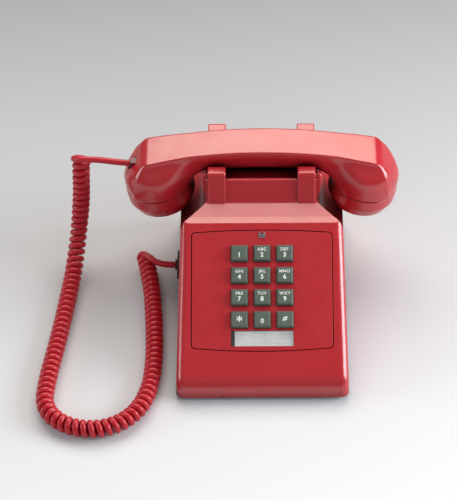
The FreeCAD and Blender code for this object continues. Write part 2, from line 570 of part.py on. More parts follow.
def gong(x):
    o = cyl(22.0, 12.0, (x, GY, 12.4))
    o = try_fillet(o, 5.0, [e for e in o.Edges if abs(mid(e).z - 24.4) < .01 and e.Length > 20])
    i = cyl(20.8, 11.2, (x, GY, 12.4 - 0.4))
    i = try_fillet(i, 4.0, [e for e in i.Edges if abs(mid(e).z - 23.2) < .01 and e.Length > 20])
    return o.cut(i).cut(cyl(1.7, 6, (x, GY, 20.0)))


gong_left, gong_right = gong(-GX), gong(GX)
boss = []
for x in (-GX, GX):
    boss.append(cyl(3.6, 2.4, (x, GY, 20.8)).cut(cyl(1.5, 6, (x, GY, 19.0))))
ringer_frame = ringer_frame.fuse(boss).removeSplitter()
gong_screws = Part.makeCompound([cyl(1.5, 9.0, (x, GY, 15.4)).fuse(cyl(3.6, 1.8, (x, GY, 24.4))) for x in (-GX, GX)])
ringer_coil = cyl(10.5, 42.0, (-21.0, 17.0, 20.5), (1, 0, 0))
ringer_coil = ringer_coil.cut(cyl(2.2, 50.0, (-25, 17.0, 20.5), (1, 0, 0)))
volume_wheel = cyl(WH[3], 6.0, (WH[0] - 3.0, WH[1], WH[2]), (1, 0, 0)).cut(cyl(1.26, 10, (WH[0] - 5, WH[1], WH[2]), (1, 0, 0)))
volume_wheel = volume_wheel.cut(box(WH[0] - 4, WH[0] + 4, WH[1] - .6, WH[1] + .6, WH[2] - WH[3] - 1, WH[2] - WH[3] + 1.0))
wheel_pin = cyl(1.2, 13.0, (WH[0] - 6.5, WH[1], WH[2]), (1, 0, 0))

# ---- network block ----
network_block = box(-38, 38, 46, 86, 6.0, 30.0)
network_block = try_fillet(network_block, 2.0, [e for e in network_block.Edges if mid(e).z > 20])
for k in range(6):
    network_block = network_block.fuse(cyl(2.4, 2.0, (-30 + 12 * k, 52, 29.5))).fuse(cyl(2.4, 2.0, (-30 + 12 * k, 80, 29.5)))
network_block = network_block.removeSplitter()

# ---- handset ----
zc = HANDLE_TOP - HANDLE_R
sec = rpoly([(-17.0, HANDLE_TOP, 0.9), (17.0, HANDLE_TOP, 0.9), (13.6, HANDLE_TOP - HANDLE_T, 3.0), (-13.6, HANDLE_TOP - HANDLE_T, 3.0)],
            lambda y, z: (0, LIFT_Y + y, z))
half_a = 13.6
bar = Part.Face(sec)
bar.rotate(V(0, 0, zc), V(0, 1, 0), -half_a)
bar = bar.revolve(V(0, 0, zc), V(0, 1, 0), 2 * half_a)
R1 = HANDLE_R


def cup_local(profile):
    """Solid of revolution about the cup's own axis: profile of (radius, height above the face)."""
    w = rpoly(profile, lambda r, h: (r, 0, h))
    return Part.Face(w).revolve(V(0, 0, 0), V(0, 0, 1), 360)


def place_cup(s, sgn):
    s = s.copy()
    s.rotate(V(0, 0, 0), V(0, 1, 0), sgn * CUP_TILT)
    s.translate(V(sgn * CUP_X, LIFT_Y, CUP_Z))
    return s


CAP_H = 20.0
top_limit = cyl(R1, 80, (0, LIFT_Y - 40, zc), (0, 1, 0))
cups = []
for sgn in (-1, 1):
    prof = [(0, CAP_H + .3, 0), (CAP_R - .4, CAP_H + .3, 0), (CAP_R - .4, 32.0, 16.0), (25.6, 47.0, 14.0), (17.6, 58.0, 3.0), (0, 62.0, 0)]
    cup = place_cup(cup_local(prof), sgn)
    cups.append(cup.common(top_limit))
handle = bar.fuse(cups)
# rounded ends
for sgn in (-1, 1):
    w = rpoly([(0, 40, 0), (93, 40, 0), (68.3, 97.5, 0), (53.2, 116.5, 0), (38, 135.6, 0), (0, 135.6, 0)],
              lambda r, z: (sgn * 50.0 + r, LIFT_Y, z))
    end = Part.Face(w).revolve(V(sgn * 50.0, LIFT_Y, 0), V(0, 0, 1), 360)
    side = box(-300 if sgn > 0 else 50 * sgn, 50 * sgn if sgn > 0 else 300, LIFT_Y - 60, LIFT_Y + 60, 30, 160)
    handle = handle.common(end.fuse(side))
handle = handle.removeSplitter()
print("handle", handle.isValid(), len(handle.Solids), round(handle.Volume))
pocket = [(0, CAP_H - 2, 0), (25.0, CAP_H - 2, 0), (25.0, 38.0, 2.0), (0, 38.0, 0)]
for sgn in (-1, 1):
    handle = handle.cut(place_cup(cup_local(pocket), sgn))
handle = handle.cut(cyl(3.4, 132.0, (-66, LIFT_Y, 112.6), (1, 0, 0)))
for sgn in (-1, 1):
    handle = handle.cut(cyl(3.4, 34.0, (sgn * 64.0, LIFT_Y, 112.6), (sgn * 0.5, 0, -0.87)))
# modular jack in the left end
PH = (-113.0, 104.5)   # where the cord leaves
handle = handle.cut(box(-118.0, -98.0, LIFT_Y - 4.0, LIFT_Y + 4.0, PH[1] - 3.5, PH[1] + 3.5))
handset_handle = handle.removeSplitter()
print("handset_handle", handset_handle.isValid(), len(handset_handle.Solids), round(handset_handle.Volume))
plug_handset = box(-112.6, -98.5, LIFT_Y - 3.8, LIFT_Y + 3.8, PH[1] - 3.3, PH[1] + 3.3)
plug_handset = try_fillet(plug_handset, 0.5, plug_handset.Edges)


def cap(dish, holes):
    o = [(0, 0.6 if dish else -0.8, 0), (13, 0.4 if dish else -0.5, 0), (25.0, 0.0, 2.2), (CAP_R, 10.0, 5.0), (CAP_R, CAP_H, 0.6),
         (26.6, CAP_H, 0), (26.6, 10.5, 2.0), (23.5, 3.6, 1.5), (0, 3.2, 0)]
    s = cup_local(o)
    ring = cup_local([(25.3, CAP_H - 3, 0), (26.7, CAP_H - 3, 0), (26.7, CAP_H, 0), (25.3, CAP_H, 0)])
    for r, n in holes:
        for k in range(n):
            a = 2 * math.pi * k / n
            s = s.cut(cyl(1.1, 12, (r * math.cos(a), r * math.sin(a), -4)))
    return s


HOLES_T = [(0, 1), (5.0, 6), (10.0, 12)]
HOLES_R = [(0, 1), (5.0, 6)]
transmitter_cap = place_cup(cap(False, HOLES_T), -1)
receiver_cap = place_cup(cap(True, HOLES_R), 1)
unit_t = cup_local([(0, 6.2, 0), (19.0, 6.2, 1.0), (22.5, 9.0, 0), (22.5, 20.0, 1.5), (12.0, 24.0, 1.0), (0, 24.0, 0)])
unit_r = cup_local([(0, 5.8, 0), (21.0, 5.8, 1.0), (22.0, 12.0, 0), (17.0, 16.0, 0), (17.0, 26.0, 2.0), (0, 26.0, 0)])
transmitter_unit = place_cup(unit_t, -1)
receiver_unit = place_cup(unit_r, 1)
print("cap", transmitter_cap.isValid(), receiver_cap.isValid(), transmitter_cap.BoundBox)


# ---- cord ----
def route(points, limit=None):
    """Straight runs joined by tangent arcs, each 0.45 of its shorter run."""
    P = [V(*p) for p in points]
    edges, radii = [], []
    at = P[0]
    for i in range(1, len(P) - 1):
        a, b, c = P[i - 1], P[i], P[i + 1]
        d1, d2 = (a - b), (c - b)
        run = min(d1.Length, d2.Length)
        d1.normalize()
        d2.normalize()
        ang = math.acos(max(-1, min(1, d1.dot(d2))))
        turn = math.pi - ang
        r = 0.45 * run / math.tan(turn / 2)
        t = 0.45 * run
        p1, p2 = b + d1 * t, b + d2 * t
        bis = d1 + d2
        bis.normalize()
        m = b + bis * (r / math.cos(turn / 2) - r)
        edges.append(Part.LineSegment(at, p1).toShape())
        edges.append(Part.Arc(p1, m, p2).toShape())
        at = p2
        radii.append(round(r, 1))
    edges.append(Part.LineSegment(at, P[-1]).toShape())
    return Part.Wire(edges), radii


def tube(points, dia, name):
    w, radii = route(points)
    d = w.OrderedEdges[0].tangentAt(w.OrderedEdges[0].FirstParameter) if hasattr(w, "OrderedEdges") else V(*points[1]) - V(*points[0])
    d = V(*points[1]) - V(*points[0])
    d.normalize()
    circ = Part.Wire([Part.Circle(V(*points[0]), d, dia / 2).toShape()])
    s = w.makePipeShell([circ], True, False)
    want = math.pi * dia * dia / 4 * w.Length
    print(name, "length", round(w.Length, 1), "radii", radii, "volume ratio", round(s.Volume / want, 4), s.isValid())
    return s


Z_COIL = COIL_D / 2 + 0.2
COIL = [
    (-154.6, 70.0, 101.0), (-156.4, 70.0, 66.0), (-160.0, 64.5, 33.0), (-164.2, 36.0, 9.6), (-168.6, -4.0, 8.1),
    (-174.0, -50.0, 8.1), (-180.6, -94.0, 8.1), (-181.8, -126.0, 8.1), (-160.0, -146.6, 8.1), (-128.0, -148.6, 8.1),
    (-104.0, -131.0, 8.1), (-93.0, -101.0, 8.1), (-90.9, -62.0, 8.1), (-93.2, -16.0, 8.1), (-96.2, 20.0, 8.4), (-102.6, 50.0, 12.0),
]
TAIL_H = [(-112.6, 70.0, PH[1]), (-124.0, 70.0, PH[1]), (-140.5, 70.2, 107.8), (-152.0, 70.6, 104.0), (-156.4, 70.2, 93.0)]
TAIL_B = [(-75.6, JY, JZ), (-85.0, JY, JZ), (-97.5, JY + 5.0, JZ + 1.0), (-105.0, JY + 12.5, 13.5)]
handset_cord = tube(COIL, COIL_D, "handset_cord")
cord_tail_handset = tube(TAIL_H, CORD_D, "cord_tail_handset")
cord_tail_base = tube(TAIL_B, CORD_D, "cord_tail_base")

NODES = {
    "housing": housing, "faceplate": faceplate, "faceplate_clip": clip, "number_card": number_card,
    "card_window": card_window, "card_tab": card_tab, "keypad_frame": keypad_frame, "keypad_dome_sheet": dome_sheet,
    "keypad_board": board, "keypad_backplate": backplate, "keypad_screws": keypad_screws,
    "base_plate": base_plate, "rubber_feet": rubber_feet, "housing_screws": housing_screws,
    "handset_jack": handset_jack, "line_jack": line_jack, "plug_base": plug_base, "plug_handset": plug_handset,
    "hookswitch_bracket": hook_bracket, "hookswitch_pin": hookswitch_pin, "hookswitch_lever": lever,
    "hookswitch_contacts": hook_contacts, "network_block": network_block,
    "ringer_frame": ringer_frame, "ringer_coil": ringer_coil, "gong_left": gong_left, "gong_right": gong_right,
    "gong_screws": gong_screws, "clapper": clapper, "clapper_pin": clapper_pin,
    "ringer_volume_wheel": volume_wheel, "wheel_pin": wheel_pin,
    "handset_handle": handset_handle, "transmitter_cap": transmitter_cap, "receiver_cap": receiver_cap,
    "transmitter_unit": transmitter_unit, "receiver_unit": receiver_unit,
    "handset_cord": handset_cord, "cord_tail_handset": cord_tail_handset, "cord_tail_base": cord_tail_base,
}
NODES.update(keys)
NODES.update(plungers)
for name, s in sorted(NODES.items()):
    if not s.isValid() or not s.Solids:
        print("BAD", name, s.isValid(), len(s.Solids))
    s.exportStep("parts/%s.step" % name)
print(len(NODES), "nodes")
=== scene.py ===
import bpy
import bmesh
import json
import math
import numpy as np
from mathutils import Matrix, Vector


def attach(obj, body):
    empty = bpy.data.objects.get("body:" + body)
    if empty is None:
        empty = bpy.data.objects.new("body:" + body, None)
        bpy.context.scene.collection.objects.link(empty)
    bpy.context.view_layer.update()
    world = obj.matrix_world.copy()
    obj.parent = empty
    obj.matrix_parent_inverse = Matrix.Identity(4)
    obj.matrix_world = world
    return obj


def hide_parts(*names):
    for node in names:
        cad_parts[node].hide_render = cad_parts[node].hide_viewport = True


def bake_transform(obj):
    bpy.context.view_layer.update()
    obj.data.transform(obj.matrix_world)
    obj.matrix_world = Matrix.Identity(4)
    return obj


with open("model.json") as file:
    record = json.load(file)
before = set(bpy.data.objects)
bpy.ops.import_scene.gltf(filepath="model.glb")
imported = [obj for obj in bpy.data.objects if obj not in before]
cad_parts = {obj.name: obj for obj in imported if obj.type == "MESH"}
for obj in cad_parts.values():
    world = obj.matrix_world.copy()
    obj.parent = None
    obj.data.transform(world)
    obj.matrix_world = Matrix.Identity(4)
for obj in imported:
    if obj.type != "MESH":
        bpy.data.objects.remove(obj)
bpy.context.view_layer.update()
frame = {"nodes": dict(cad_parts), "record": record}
scene = bpy.context.scene
MM = 0.001

# ------------------------------------------------------------------ camera
cam_data = bpy.data.cameras.new("camera")
cam = bpy.data.objects.new("camera", cam_data)
scene.collection.objects.link(cam)
cam_data.sensor_fit = "AUTO"
cam_data.sensor_width = 24.0
cam_data.lens = 24.0 * 2395.0 / 500.0
cam_data.shift_x = -0.067
cam_data.shift_y = 0.040
cam_data.clip_start, cam_data.clip_end = 0.05, 60.0
cam.location = (0.0, -1.4472, 1.4912)
cam.rotation_euler = (math.radians(45.0), math.radians(0.0), 0.0)
cam.rotation_mode = "QUATERNION"
look = (Vector((0.0, -0.033, 0.077)) - Vector(cam.location)).to_track_quat("-Z", "Y")
cam.rotation_quaternion = look @ Matrix.Rotation(math.radians(-0.3), 4, "Z").to_quaternion()
scene.camera = cam
scene.view_settings.view_transform = "Standard"
scene.view_settings.look = "None"

# ------------------------------------------------------------------ cord
CORD_D = 5.5
HANG_R, FLOOR_R = 5.05, 5.05
COIL = [
    (-154.8, 77.0, 105.0), (-155.3, 72.6, 97.0), (-156.3, 70.6, 66.0), (-160.0, 64.5, 33.0), (-164.2, 36.0, 9.6), (-168.6, -4.0, 8.1),
    (-174.0, -50.0, 8.1), (-180.6, -94.0, 8.1), (-181.8, -126.0, 8.1), (-160.0, -146.6, 8.1), (-128.0, -148.6, 8.1),
    (-104.0, -131.0, 8.1), (-93.0, -101.0, 8.1), (-90.9, -62.0, 8.1), (-93.2, -16.0, 8.1), (-96.2, 20.0, 8.4), (-102.6, 50.0, 12.0),
]
TAIL_H = [(-112.6, 70.0, 104.5), (-123.0, 70.0, 105.4), (-140.5, 69.9, 109.0), (-150.0, 69.6, 109.2)]
TAIL_B = [(-75.6, 33.0, 18.0), (-85.0, 33.0, 18.0), (-97.5, 38.0, 19.0), (-105.0, 45.5, 13.5)]


def route_points(name, pts):
    """The smooth line of a NURBS spline with these control points, as Blender gives it."""
    cu = bpy.data.curves.new(name, "CURVE")
    cu.dimensions = "3D"
    cu.resolution_u = 24
    sp = cu.splines.new("NURBS")
    sp.points.add(len(pts) - 1)
    for p, c in zip(sp.points, pts):
        p.co = (c[0] * MM, c[1] * MM, c[2] * MM, 1.0)
    sp.order_u = 3
    sp.use_endpoint_u = True
    ob = bpy.data.objects.new(name, cu)
    scene.collection.objects.link(ob)
    bpy.context.view_layer.update()
    me = bpy.data.meshes.new_from_object(ob)
    out = np.array([v.co for v in me.vertices], float)
    bpy.data.objects.remove(ob)
    bpy.data.meshes.remove(me)
    bpy.data.curves.remove(cu)
    return out


def arc_lengths(p):
    return np.concatenate([[0.0], np.cumsum(np.linalg.norm(np.diff(p, axis=0), axis=1))])


def sample(p, s):
    a = arc_lengths(p)
    return np.stack([np.interp(s, a, p[:, k]) for k in range(3)], axis=-1)


def unit(v):
    return v / np.linalg.norm(v)


def transported(p, first):
    """Parallel-transported normals along a line."""
    t = np.gradient(p, axis=0)
    t /= np.linalg.norm(t, axis=1)[:, None]
    n = np.zeros_like(p)
    n[0] = unit(first - t[0] * np.dot(first, t[0]))
    for i in range(1, len(p)):
        v = n[i - 1] - t[i] * np.dot(n[i - 1], t[i])
        n[i] = unit(v)
    return t, n, np.cross(t, n)


def smooth_line(p, n):
    """Light smoothing that takes out the spline's small kinks in curvature."""
    q = p.copy()
    for _ in range(n):
        q[1:-1] = 0.25 * q[:-2] + 0.5 * q[1:-1] + 0.25 * q[2:]
    return q


axis_line = route_points("route_coil", COIL)
S_ALL = arc_lengths(axis_line)[-1]
ds = 0.00025
s_grid = np.linspace(0.0, S_ALL, int(S_ALL / ds))
axis_p = smooth_line(sample(axis_line, s_grid), 60)
tan, nrm, bin_ = transported(axis_p, np.array([0.0, -1.0, 0.0]))
# turn spacing along the axis, from the hanging leg round to the jack
pitch = np.interp(s_grid / S_ALL, [0.0, 0.14, 0.22, 0.45, 0.52, 0.66, 0.72, 1.0],
                  [0.0062, 0.0064, 0.0064, 0.0064, 0.0063, 0.0062, 0.0061, 0.0060])
turns = np.cumsum(1.0 / pitch) * (s_grid[1] - s_grid[0])
# the last turn ends on top, where the wire leaves towards the jack
end_up = np.array([0.0, 0.0, 1.0])
end_phase = math.atan2(np.dot(bin_[-1], end_up), np.dot(nrm[-1], end_up)) / (2 * math.pi)
want = round(turns[-1] - end_phase) + end_phase
phase = 2 * math.pi * turns * want / turns[-1]
wob = 1.0 + 0.012 * np.sin(phase * 0.137 + 1.0) + 0.010 * np.sin(phase * 0.061)
# the first turn is a little wider than the rest
flare = 1.0 + 0.34 * np.clip(1.0 - phase / (2 * math.pi * 1.3), 0, 1) ** 1.5
mean_r = np.interp(s_grid / S_ALL, [0.0, 0.14, 0.20, 1.0], [HANG_R, HANG_R, FLOOR_R, FLOOR_R]) * MM
rad = mean_r * wob * flare
rad = np.minimum(rad, np.where(axis_p[:, 2] < 0.0095, FLOOR_R * MM, 1.0))
helix = axis_p + rad[:, None] * (np.cos(phase)[:, None] * nrm + np.sin(phase)[:, None] * bin_)


def hermite(p0, t0, p1, t1, n, k=1.0):
    d = np.linalg.norm(p1 - p0) * k
    u = np.linspace(0, 1, n)[:, None]
    return ((2 * u**3 - 3 * u**2 + 1) * p0 + (u**3 - 2 * u**2 + u) * d * t0 + (-2 * u**3 + 3 * u**2) * p1 + (u**3 - u**2) * d * t1)


tail_h = route_points("route_tail_handset", TAIL_H)
ah = arc_lengths(tail_h)
cut_h = float(np.interp(-0.1440, tail_h[::-1, 0], ah[::-1]))
head = sample(tail_h, np.linspace(0, cut_h, 60))
t_head = unit(head[-1] - head[-2])
t_hx = unit(helix[6] - helix[2])
join_a = hermite(head[-1], t_head, helix[4], t_hx, 60, 1.0)
tail_b = route_points("route_tail_base", TAIL_B)[::-1]
ab = arc_lengths(tail_b)
i_b = int(np.argmin(np.abs(tail_b[:, 0] + 0.0905)))
foot = sample(tail_b, np.linspace(ab[i_b], ab[-1], 40))
t_foot = unit(foot[1] - foot[0])
t_he = unit(helix[-3] - helix[-7])
join_b = hermite(helix[-5], t_he, foot[0], t_foot, 40, 1.0)
wire = np.concatenate([head, join_a[1:], helix[5:-5], join_b, foot[1:]])
a_w = arc_lengths(wire)
WIRE_LEN = float(a_w[-1])
n_w = int(WIRE_LEN / 0.00115)
wire = sample(wire, np.linspace(0, WIRE_LEN, n_w))
print("wire length m", round(WIRE_LEN, 4), "turns", round(float(phase[-1] / 2 / math.pi), 1), "axis", round(float(S_ALL), 4), "points", n_w)


def tube_mesh(name, line, radius, sides, first):
    t, n, b = transported(line, first)
    a = np.linspace(0, 2 * math.pi, sides, endpoint=False)
    ring = (np.cos(a)[None, :, None] * n[:, None, :] + np.sin(a)[None, :, None] * b[:, None, :]) * radius + line[:, None, :]
    verts = ring.reshape(-1, 3)
    m = len(line)
    i = np.arange(m - 1)[:, None] * sides
    j = np.arange(sides)[None, :]
    k = (j + 1) % sides
    quads = np.stack([i + j, i + k, i + sides + k, i + sides + j], axis=-1).reshape(-1, 4)
    faces = [tuple(int(x) for x in q) for q in quads]
    faces.append(tuple(reversed(range(sides))))
    faces.append(tuple(range((m - 1) * sides, m * sides)))
    me = bpy.data.meshes.new(name)
    me.from_pydata([tuple(v) for v in verts], [], faces)
    me.validate()
    for p in me.polygons:
        p.use_smooth = True
    ob = bpy.data.objects.new(name, me)
    scene.collection.objects.link(ob)
    return ob


cord = tube_mesh("curly_cord", wire, CORD_D / 2 * MM, 12, np.array([0.0, 0.0, 1.0]))
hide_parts("handset_cord", "cord_tail_handset", "cord_tail_base")
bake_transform(cord)

# ------------------------------------------------------------------ handset handle
def smin(a, b, k):
    h = np.maximum(k - np.abs(a - b), 0.0) / k
    return np.minimum(a, b) - h * h * k * 0.25


def smax(a, b, k):
    return -smin(-a, -b, k)


def handle_field(p):
    """Signed distance in mm to the handle, y measured from the middle of the handset."""
    X, Y, Z = p[..., 0], p[..., 1], p[..., 2]
    x = np.abs(X)
    top = np.sqrt(x * x + (Z + 270.0) ** 2) - 399.92
    side = (np.abs(Y) - (16.9 + 0.155 * top)) * 0.985
    bar = smax(side, -(top + 21.9), 6.0)
    bar = np.maximum(bar, x - 98.0)
    dx, dz = x - 84.8, Z - 64.0
    h = dx * 0.1564 + dz * 0.9877
    u = dx * 0.9877 - dz * 0.1564
    rho = np.sqrt(u * u + Y * Y)
    e = np.maximum(h - 27.0, 0.0)
    cup = (np.sqrt((rho / 29.1) ** 2 + (e / 32.0) ** 2) - 1.0) * 30.0
    d = smin(bar, cup, 19.0)
    # the top keeps one even width from end to end, and the cups swell out below it
    drop = np.clip(-top, 0.0, 22.0)
    ends = np.clip((x - 60.0) / 40.0, 0.0, 1.0) ** 2
    limit = 17.0 + 1.2 * ends + 13.5 * 0.5 * (1.0 - np.cos(np.pi * drop / 22.0))
    d = smax(d, (np.abs(Y) - limit) * 0.80, 3.5)
    d = smax(d, top, 1.2)
    d = smax(d, (x - 100.5) * 0.783 + (Z - 117.6) * 0.622, 3.0)
    d = np.maximum(d, 20.3 - h)
    slot = np.maximum(np.maximum(X + 105.0, np.abs(Y) - 4.3), np.abs(Z - 104.7) - 4.1)
    return np.maximum(d, -slot)


def surface_nets(field, lo, hi, step):
    n = [int(math.ceil((b - a) / step)) + 1 for a, b in zip(lo, hi)]
    ax = [np.arange(m) * step + a for m, a in zip(n, lo)]
    V = field(np.stack(np.meshgrid(*ax, indexing="ij"), axis=-1))
    s = V < 0
    cnt = np.zeros([m - 1 for m in n], np.int8)
    corners = [(i, j, k) for i in (0, 1) for j in (0, 1) for k in (0, 1)]
    for i, j, k in corners:
        cnt += s[i:n[0] - 1 + i, j:n[1] - 1 + j, k:n[2] - 1 + k]
    act = (cnt > 0) & (cnt < 8)
    idx = np.full(act.shape, -1, np.int64)
    idx[act] = np.arange(act.sum())
    I = np.stack(np.nonzero(act), axis=-1)
    acc, num = np.zeros((len(I), 3)), np.zeros(len(I))
    for a in range(3):
        step_a = np.eye(3, dtype=int)[a]
        for c in corners:
            if c[a]:
                continue
            q = I + np.array(c)
            va, vb = V[tuple(q.T)], V[tuple((q + step_a).T)]
            m = (va < 0) != (vb < 0)
            t = va[m] / (va[m] - vb[m])
            acc[m] += np.array(c) + t[:, None] * step_a
            num[m] += 1
    v = (I + acc / num[:, None]) * step + np.array(lo)
    quads = []
    for a in range(3):
        b, c = (a + 1) % 3, (a + 2) % 3
        sl0, sl1 = [slice(None)] * 3, [slice(None)] * 3
        sl0[a], sl1[a] = slice(0, n[a] - 1), slice(1, n[a])
        s0, s1 = s[tuple(sl0)], s[tuple(sl1)]
        e = np.stack(np.nonzero(s0 != s1), axis=-1)
        e = e[(e[:, b] > 0) & (e[:, c] > 0) & (e[:, b] < n[b] - 1) & (e[:, c] < n[c] - 1)]
        ub, uc = np.eye(3, dtype=int)[b], np.eye(3, dtype=int)[c]
        ring = np.stack([idx[tuple((e - ub - uc).T)], idx[tuple((e - uc).T)], idx[tuple(e.T)], idx[tuple((e - ub).T)]], axis=-1)
        flip = ~s0[tuple(e.T)]
        ring[flip] = ring[flip][:, ::-1]
        quads.append(ring)
    return v, np.concatenate(quads)


def settled(field, v, rounds, eps=0.15):
    for _ in range(rounds):
        d = field(v)
        g = np.stack([(field(v + o) - field(v - o)) / (2 * eps) for o in np.eye(3) * eps], axis=-1)
        g2 = np.maximum((g * g).sum(-1), 0.05)
        v = v - np.clip(d / g2, -0.4, 0.4)[:, None] * g
    return v


hv, hq = surface_nets(handle_field, (-121.0, -31.5, 80.0), (121.0, 31.5, 131.5), 0.8)
hv = settled(handle_field, hv, 2)
hv[:, 1] += 70.0
hme = bpy.data.meshes.new("handle_form")
hme.from_pydata((hv * MM).tolist(), [], hq.tolist())
hme.validate()
hme.polygons.foreach_set("use_smooth", np.ones(len(hme.polygons), bool))
handle = bpy.data.objects.new("handle_form", hme)
scene.collection.objects.link(handle)
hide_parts("handset_handle")
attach(handle, "handset")
print("handle form", len(hv), "x", round(hv[:, 0].min(), 2), round(hv[:, 0].max(), 2), "y", round(hv[:, 1].min(), 2), round(hv[:, 1].max(), 2),
      "z", round(hv[:, 2].min(), 2), round(hv[:, 2].max(), 2))

# ------------------------------------------------------------------ materials
def srgb(r, g, b):
    f = lambda c: c / 255 / 12.92 if c / 255 <= 0.04045 else ((c / 255 + 0.055) / 1.055) ** 2.4
    return (f(r), f(g), f(b), 1.0)


def shade(c, k):
    return (min(1, c[0] * k), min(1, c[1] * k), min(1, c[2] * k), 1.0)


def material(name, color, rough=0.35, metal=0.0, spread=0.06, color_scale=40.0, rough_amp=0.08, rough_scale=60.0,
             bump=0.1, bump_scale=900.0, bump_dist=0.00008, pebble=False, round_mm=0.0, spec=0.5, coat=0.0, alpha=1.0,
             transmission=0.0, stretch=None, scratches=0.0, painted_shade_dist=0.0, dark=0.02):
    m = bpy.data.materials.new(name)
    m.use_nodes = True
    nt = m.node_tree
    N, L = nt.nodes, nt.links
    bsdf = N["Principled BSDF"]
    bsdf.inputs["Metallic"].default_value = metal
    bsdf.inputs["Specular IOR Level"].default_value = spec
    bsdf.inputs["Coat Weight"].default_value = coat
    bsdf.inputs["Coat Roughness"].default_value = 0.12
    bsdf.inputs["Alpha"].default_value = alpha
    bsdf.inputs["Transmission Weight"].default_value = transmission
    tc = N.new("ShaderNodeTexCoord")
    src = tc.outputs["Object"]
    if stretch:
        mp = N.new("ShaderNodeMapping")
        mp.inputs["Scale"].default_value = stretch
        L.new(src, mp.inputs["Vector"])
        src = mp.outputs["Vector"]
    n1 = N.new("ShaderNodeTexNoise")
    n1.inputs["Scale"].default_value = color_scale
    n1.inputs["Detail"].default_value = 4.0
    L.new(src, n1.inputs["Vector"])
    ramp = N.new("ShaderNodeValToRGB")
    ramp.color_ramp.elements[0].position = 0.3
    ramp.color_ramp.elements[1].position = 0.7
    ramp.color_ramp.elements[0].color = shade(color, 1 - spread)
    ramp.color_ramp.elements[1].color = shade(color, 1 + spread)
    L.new(n1.outputs["Fac"], ramp.inputs["Fac"])
    if painted_shade_dist > 0:
        # painted shade: colour and specular go dark in narrow gaps, recesses and under nearby parts, by ambient
        # occlusion
        ao = N.new("ShaderNodeAmbientOcclusion")
        ao.samples = 8
        ao.inputs["Distance"].default_value = painted_shade_dist
        cr = N.new("ShaderNodeMapRange")
        cr.interpolation_type = "SMOOTHSTEP"
        cr.inputs["From Min"].default_value = 0.26
        cr.inputs["From Max"].default_value = 0.70
        cr.inputs["To Min"].default_value = dark
        cr.inputs["To Max"].default_value = 1.0
        L.new(ao.outputs["AO"], cr.inputs["Value"])
        mx = N.new("ShaderNodeVectorMath")
        mx.operation = "SCALE"
        L.new(ramp.outputs["Color"], mx.inputs[0])
        L.new(cr.outputs["Result"], mx.inputs["Scale"])
        L.new(mx.outputs["Vector"], bsdf.inputs["Base Color"])
        sp = N.new("ShaderNodeMath")
        sp.operation = "MULTIPLY"
        sp.inputs[1].default_value = spec
        L.new(cr.outputs["Result"], sp.inputs[0])
        L.new(sp.outputs["Value"], bsdf.inputs["Specular IOR Level"])
    else:
        L.new(ramp.outputs["Color"], bsdf.inputs["Base Color"])
    n2 = N.new("ShaderNodeTexNoise")
    n2.inputs["Scale"].default_value = rough_scale
    n2.inputs["Detail"].default_value = 6.0
    L.new(src, n2.inputs["Vector"])
    mr = N.new("ShaderNodeMapRange")
    mr.inputs["From Min"].default_value = 0.3
    mr.inputs["From Max"].default_value = 0.7
    mr.inputs["To Min"].default_value = max(0.02, rough - rough_amp)
    mr.inputs["To Max"].default_value = min(1.0, rough + rough_amp)
    L.new(n2.outputs["Fac"], mr.inputs["Value"])
    L.new(mr.outputs["Result"], bsdf.inputs["Roughness"])
    if pebble:
        n3 = N.new("ShaderNodeTexVoronoi")
        n3.feature = "SMOOTH_F1"
        n3.inputs["Scale"].default_value = bump_scale
        n3.inputs["Smoothness"].default_value = 0.6
        height = n3.outputs["Distance"]
    else:
        n3 = N.new("ShaderNodeTexNoise")
        n3.inputs["Scale"].default_value = bump_scale
        n3.inputs["Detail"].default_value = 3.0
        height = n3.outputs["Fac"]
    L.new(src, n3.inputs["Vector"])
    bp = N.new("ShaderNodeBump")
    bp.inputs["Strength"].default_value = bump
    bp.inputs["Distance"].default_value = bump_dist
    L.new(height, bp.inputs["Height"])
    last = bp
    if scratches > 0:
        n4 = N.new("ShaderNodeTexNoise")
        n4.inputs["Scale"].default_value = 18.0
        n4.inputs["Detail"].default_value = 2.0
        L.new(tc.outputs["Object"], n4.inputs["Vector"])
        b2 = N.new("ShaderNodeBump")
        b2.inputs["Strength"].default_value = scratches
        b2.inputs["Distance"].default_value = 0.0005
        L.new(n4.outputs["Fac"], b2.inputs["Height"])
        L.new(b2.outputs["Normal"], bp.inputs["Normal"])
        last = b2
    if round_mm > 0:
        bv = N.new("ShaderNodeBevel")
        bv.samples = 6
        bv.inputs["Radius"].default_value = round_mm * MM
        L.new(bv.outputs["Normal"], last.inputs["Normal"])
    L.new(bp.outputs["Normal"], bsdf.inputs["Normal"])
    return m


